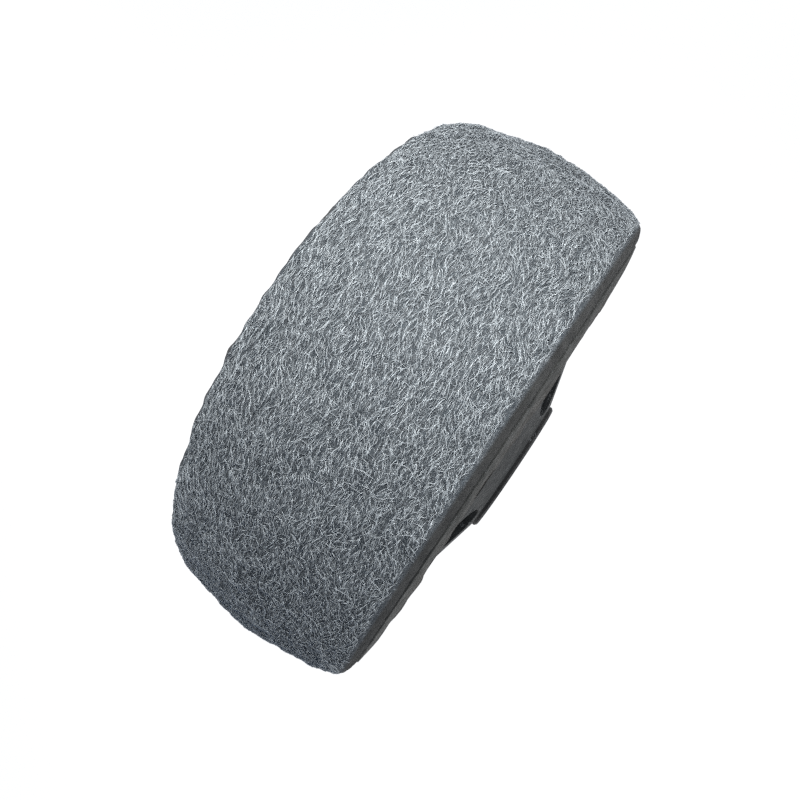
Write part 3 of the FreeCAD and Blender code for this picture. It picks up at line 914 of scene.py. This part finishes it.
def fibre_paths(draw, rows, rings, shortest, longest, curliness, lowest, highest):
    """Where each fibre runs. The tread is divided into square cells, so many rows of them
    across, and each has one fibre somewhere in it. Its heading is the lie of the wool give
    or take, or any at all for a stray, and turns by its curl times the distance along it.
    It lies at its own height over the felt, from the lowest to the highest share, with a
    wave that dips into it, and high ones are paler, as painted shade darkens the low ones.
    At the trimmed edge it follows that."""
    def each(values):
        return values[:, None]

    columns = round(math.tau * WHEEL_RADIUS / (2 * tread_reach) * rows)
    count = rows * columns
    row, column = np.divmod(np.arange(count), columns)
    share = np.linspace(0, 1, rings)[None, :]
    turn_start = each((column + draw.uniform(0, 1, count)) * math.tau / columns)
    across_start = each((row + draw.uniform(0, 1, count)) / rows * 2 - 1) * tread_reach
    any_heading = each(draw.uniform(-math.pi / 2, math.pi / 2, count))
    give_or_take = each(draw.normal(0, HEADING_SPREAD, count))
    own_heading = MEAN_LIE + LIE(turn_start, across_start) + give_or_take
    stray = each(draw.uniform(0, 1, count)) < STRAY_SHARE
    length = each(draw.uniform(shortest, longest, count))
    curl = each(draw.normal(0, curliness, count)) / MM
    heading = np.where(stray, any_heading, own_heading) + curl * (share - 0.5) * length
    step = length / (rings - 1)
    ahead = np.cumsum(np.cos(heading), axis=1) * step
    aside = np.cumsum(np.sin(heading), axis=1) * step
    turn = turn_start + (ahead - ahead.mean(axis=1, keepdims=True)) / WHEEL_RADIUS
    across = across_start + aside - aside.mean(axis=1, keepdims=True)
    edge = tread_reach + each(draw.normal(EDGE_OVERHANG, EDGE_SPREAD, count))
    layer = draw.uniform(lowest, highest, count)
    swing = each(draw.uniform(LEAST_SWING, MOST_SWING, count))
    dip = math.tau * (DIPS_PER_FIBRE * share + each(draw.uniform(0, 1, count)))
    height = each(layer) * PILE_HEIGHT + swing * np.sin(dip)
    # Painted shade: low fibres are coloured darker and high ones paler; the rest of the tone is
    # random.
    tone = (DEPTH_SHADE_RISE * layer + draw.normal(LOWEST_TONE, TONE_SPREAD, count)).clip(0, 1)
    return turn, np.clip(across, -edge, edge), height, share, tone


def fibre_tubes(turn, across, height, share):
    """A three-sided tube round each path: the corners of a ring lie one fibre radius from
    the path, in the plane of the surface's normal and the side direction, and the radius
    shrinks towards both ends, to the tip's share of it. The normal is nearly the way from
    the axle, leant outwards by the crown."""
    path = felt_surface(turn, across, height)
    forward = np.gradient(path, axis=1)
    forward /= np.linalg.norm(forward, axis=2, keepdims=True)
    outward = path * np.array([1.0, CROWN_LEAN, 1.0])
    side = np.cross(forward, outward)
    side /= np.linalg.norm(side, axis=2, keepdims=True)
    upward = np.cross(side, forward)
    swell = np.sin(math.pi * (share * 0.94 + 0.03))[..., None]
    thickness = FIBRE_RADIUS * (FIBRE_TIP + (1 - FIBRE_TIP) * swell)
    corners = []
    for corner in range(FIBRE_SIDES):
        angle = math.tau * corner / FIBRE_SIDES
        corners.append(path + (math.cos(angle) * upward + math.sin(angle) * side) * thickness)
    return np.stack(corners, axis=2)


def fibre_faces(count, rings):
    """The quads along every tube and the triangle at each of its ends."""
    first = np.arange(count)[:, None, None] * rings * FIBRE_SIDES
    ring = np.arange(rings - 1)[None, :, None] * FIBRE_SIDES
    corner = np.arange(FIBRE_SIDES)[None, None, :]
    after = (corner + 1) % FIBRE_SIDES
    low = first + ring
    quads = np.stack(np.broadcast_arrays(low + corner, low + after, low + FIBRE_SIDES + after,
                                         low + FIBRE_SIDES + corner), -1).reshape(-1, 4)
    start = first[:, 0, :] + np.array([2, 1, 0])
    end = first[:, 0, :] + (rings - 1) * FIBRE_SIDES + np.array([0, 1, 2])
    return [quads, np.concatenate([start, end])]


def loose_wool():
    """A loose wool fibre: cool grey, its paleness drawn for each fibre, with painted shade on
    the low ones, uneven along it.
    """
    material, tree, surface, place = new_material(
        "loose wool", **{"Sheen Weight": 0.1, "Specular IOR Level": 0.2})
    tone = put(tree, "Attribute", attribute_name="tone").outputs["Fac"]
    patch = noise(tree, place, 0.9, detail=2.0)
    either_way = maths(tree, "MULTIPLY_ADD", patch, 0.5, -0.25)
    uneven_tone = maths(tree, "ADD", tone, either_way, clamp=True)
    plug(tree, surface.inputs["Base Color"], mixed(tree, uneven_tone, DARK_WOOL, PALE_WOOL))
    plug(tree, surface.inputs["Roughness"], maths(tree, "MULTIPLY_ADD", patch, 0.3, 0.5))
    scales = noise(tree, place, 14.0, detail=1.0)
    emboss(tree, surface, scales, 0.00001)
    return material


def lay_fibres(name, seed, rings, **lie):
    """One piece of many fibres, each with its own tone, riding on the wheel."""
    turn, across, height, share, tone = fibre_paths(np.random.default_rng(seed), rings=rings, **lie)
    tubes = fibre_tubes(turn, across, height, share)
    fibres = new_piece(name, tubes.reshape(-1, 3), fibre_faces(len(tubes), rings), fibre_finish)
    attribute = fibres.data.attributes.new("tone", "FLOAT", "POINT")
    attribute.data.foreach_set("value", np.repeat(tone, rings * FIBRE_SIDES).astype(np.float32))
    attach(fibres, "wheel")


fibre_finish = loose_wool()
for layer in range(SHORT_LAYERS):
    lay_fibres(f"short_fibres_{layer + 1}", 100 + layer, rings=3, rows=SHORT_ROWS,
               shortest=0.6 * MM, longest=1.7 * MM, curliness=0.42,
               lowest=layer / SHORT_LAYERS, highest=(layer + 1) / SHORT_LAYERS)
lay_fibres("long_fibres", 99, rings=7, rows=LONG_ROWS, shortest=2.0 * MM, longest=4.5 * MM,
           curliness=0.4, lowest=0.2, highest=1.0)


# ---------------------------------------------------------------------------------------
# Reducing bushes. Turned from natural nylon and pushed into the sleeve from both sides,
# they bring its bore down to the smaller arbor. Grey polishing dust sits in their tool
# marks.

bush_finish = natural_nylon("bush nylon", pitch=0.11, soil=0.6)
for bush in ("reducer_bush_right", "reducer_bush_left"):
    dress(bush, bush_finish)


# ---------------------------------------------------------------------------------------
# Floor, lamps and camera. The wheel stands on a pale floor under a soft lamp, with four
# low lamps and a white wall round it. It is seen from above, a little from the right,
# with the axle aslant.

FLOOR_HALF = 3.0
FLOOR_LEVEL = cad_low.z
TABLE_DARKER = (0.48, 0.48, 0.48, 1)
TABLE_LIGHTER = (0.52, 0.52, 0.52, 1)
TABLE_FILL = 0.95
WHITE = (1, 1, 1, 1)
COOL_SHADE = (0.022, 0.042, 0.085, 1)
KEY_LEVEL = 2.45
SIDE_LEVEL = 0.7
END_LEVEL = 0.24
CAMERA_DISTANCE = 0.121
CAMERA_LEAN = math.radians(10.12)
CAMERA_ROLL = math.radians(-56.21)
CAMERA_RIGHT = -0.0036
CAMERA_UP = 0.0007
LENS = 27.6
SENSOR = 36.0


def seen_rays(tree):
    """1 for a ray from the camera, from a reflection or through glass, and 0 for others."""
    rays = put(tree, "LightPath").outputs
    return highest(tree, [rays[f"Is {kind} Ray"] for kind in ("Camera", "Glossy", "Transmission")])


def pale_floor():
    """A matt white table: faintly mottled, and filled up to white for the rays that see
    it, so that only the wheel's shadow stays on it."""
    material, tree, surface, place = new_material("white table", Roughness=0.9)
    cloud = noise(tree, place, 0.01, detail=3.0)
    plug(tree, surface.inputs["Base Color"], mixed(tree, cloud, TABLE_DARKER, TABLE_LIGHTER))
    surface.inputs["Emission Color"].default_value = WHITE
    fill = maths(tree, "MULTIPLY", seen_rays(tree), TABLE_FILL)
    plug(tree, surface.inputs["Emission Strength"], fill)
    return material


unit_corners = np.array([[-1, -1, 0], [1, -1, 0], [1, 1, 0], [-1, 1, 0]])
floor_corners = unit_corners * FLOOR_HALF + [0, 0, FLOOR_LEVEL]
floor = new_piece("floor", floor_corners, [np.array([[0, 1, 2, 3]])], pale_floor(), smooth=False)


def facing(direction):
    """The turn that looks from a direction back at the wheel, with its top that way up."""
    return (-direction).to_track_quat("-Z", "Y")


def soft_lamp(name, target, direction, distance, size, spread, level):
    """A square lamp behind a grid that narrows its beam to a spread. From afar, at level 1,
    a surface that faces it at its target renders about as its colour is written; near by,
    its size costs it up to half of that. Its power is level times pi squared times distance
    squared, over the gain that the grid gives the middle of the beam, tan h / (tan h - h)
    for half the spread h."""
    half = math.radians(spread) / 2
    gain = math.tan(half) / (math.tan(half) - half)
    lamp = bpy.data.lights.new(name, "AREA")
    lamp.shape = "SQUARE"
    lamp.size = size
    lamp.spread = 2 * half
    lamp.energy = level * math.pi ** 2 * distance ** 2 / gain
    holder = bpy.data.objects.new(name, lamp)
    holder.location = target + direction * distance
    holder.rotation_mode = "QUATERNION"
    holder.rotation_quaternion = facing(direction)
    holder.visible_camera = False
    bpy.context.scene.collection.objects.link(holder)


overhead = Vector((-0.283, 0.0, 0.959))
soft_lamp("key lamp", overhead * WHEEL_RADIUS, overhead,
          distance=0.085, size=0.06, spread=70, level=KEY_LEVEL)
low_lamps = {
    "right lamp": ((0, 1, 0), SIDE_LEVEL),
    "left lamp": ((0, -1, 0), SIDE_LEVEL),
    "front lamp": ((1, 0, 0), END_LEVEL),
    "rear lamp": ((-1, 0, 0), END_LEVEL),
}
for name, (outward, level) in low_lamps.items():
    outward = Vector(outward)
    soft_lamp(name, outward * WHEEL_RADIUS, outward,
              distance=0.22, size=0.08, spread=60, level=level)


def pale_surround():
    """A dim cool sky for the wheel, which the camera and reflections see as a white wall."""
    world = bpy.data.worlds.new("surround")
    world.use_nodes = True
    tree = world.node_tree
    background = tree.nodes["Background"]
    plug(tree, background.inputs["Color"], mixed(tree, seen_rays(tree), COOL_SHADE, WHITE))
    return world


bpy.context.scene.world = pale_surround()

back = Vector((0.0, math.sin(CAMERA_LEAN), math.cos(CAMERA_LEAN)))
camera_data = bpy.data.cameras.new("camera")
camera_data.lens = LENS
camera_data.sensor_width = SENSOR
camera_data.clip_start = 0.005
camera = bpy.data.objects.new("camera", camera_data)
camera.rotation_mode = "QUATERNION"
camera.rotation_quaternion = Quaternion(back, CAMERA_ROLL) @ facing(back)
right = camera.rotation_quaternion @ Vector((1, 0, 0))
up = camera.rotation_quaternion @ Vector((0, 1, 0))
camera.location = back * CAMERA_DISTANCE + right * CAMERA_RIGHT + up * CAMERA_UP
bpy.context.scene.collection.objects.link(camera)
bpy.context.scene.camera = camera
bpy.context.scene.view_settings.view_transform = "Standard"

# A denoiser would smear the fibres, which are as fine as the noise it takes out.
bpy.context.scene.cycles.use_denoising = False
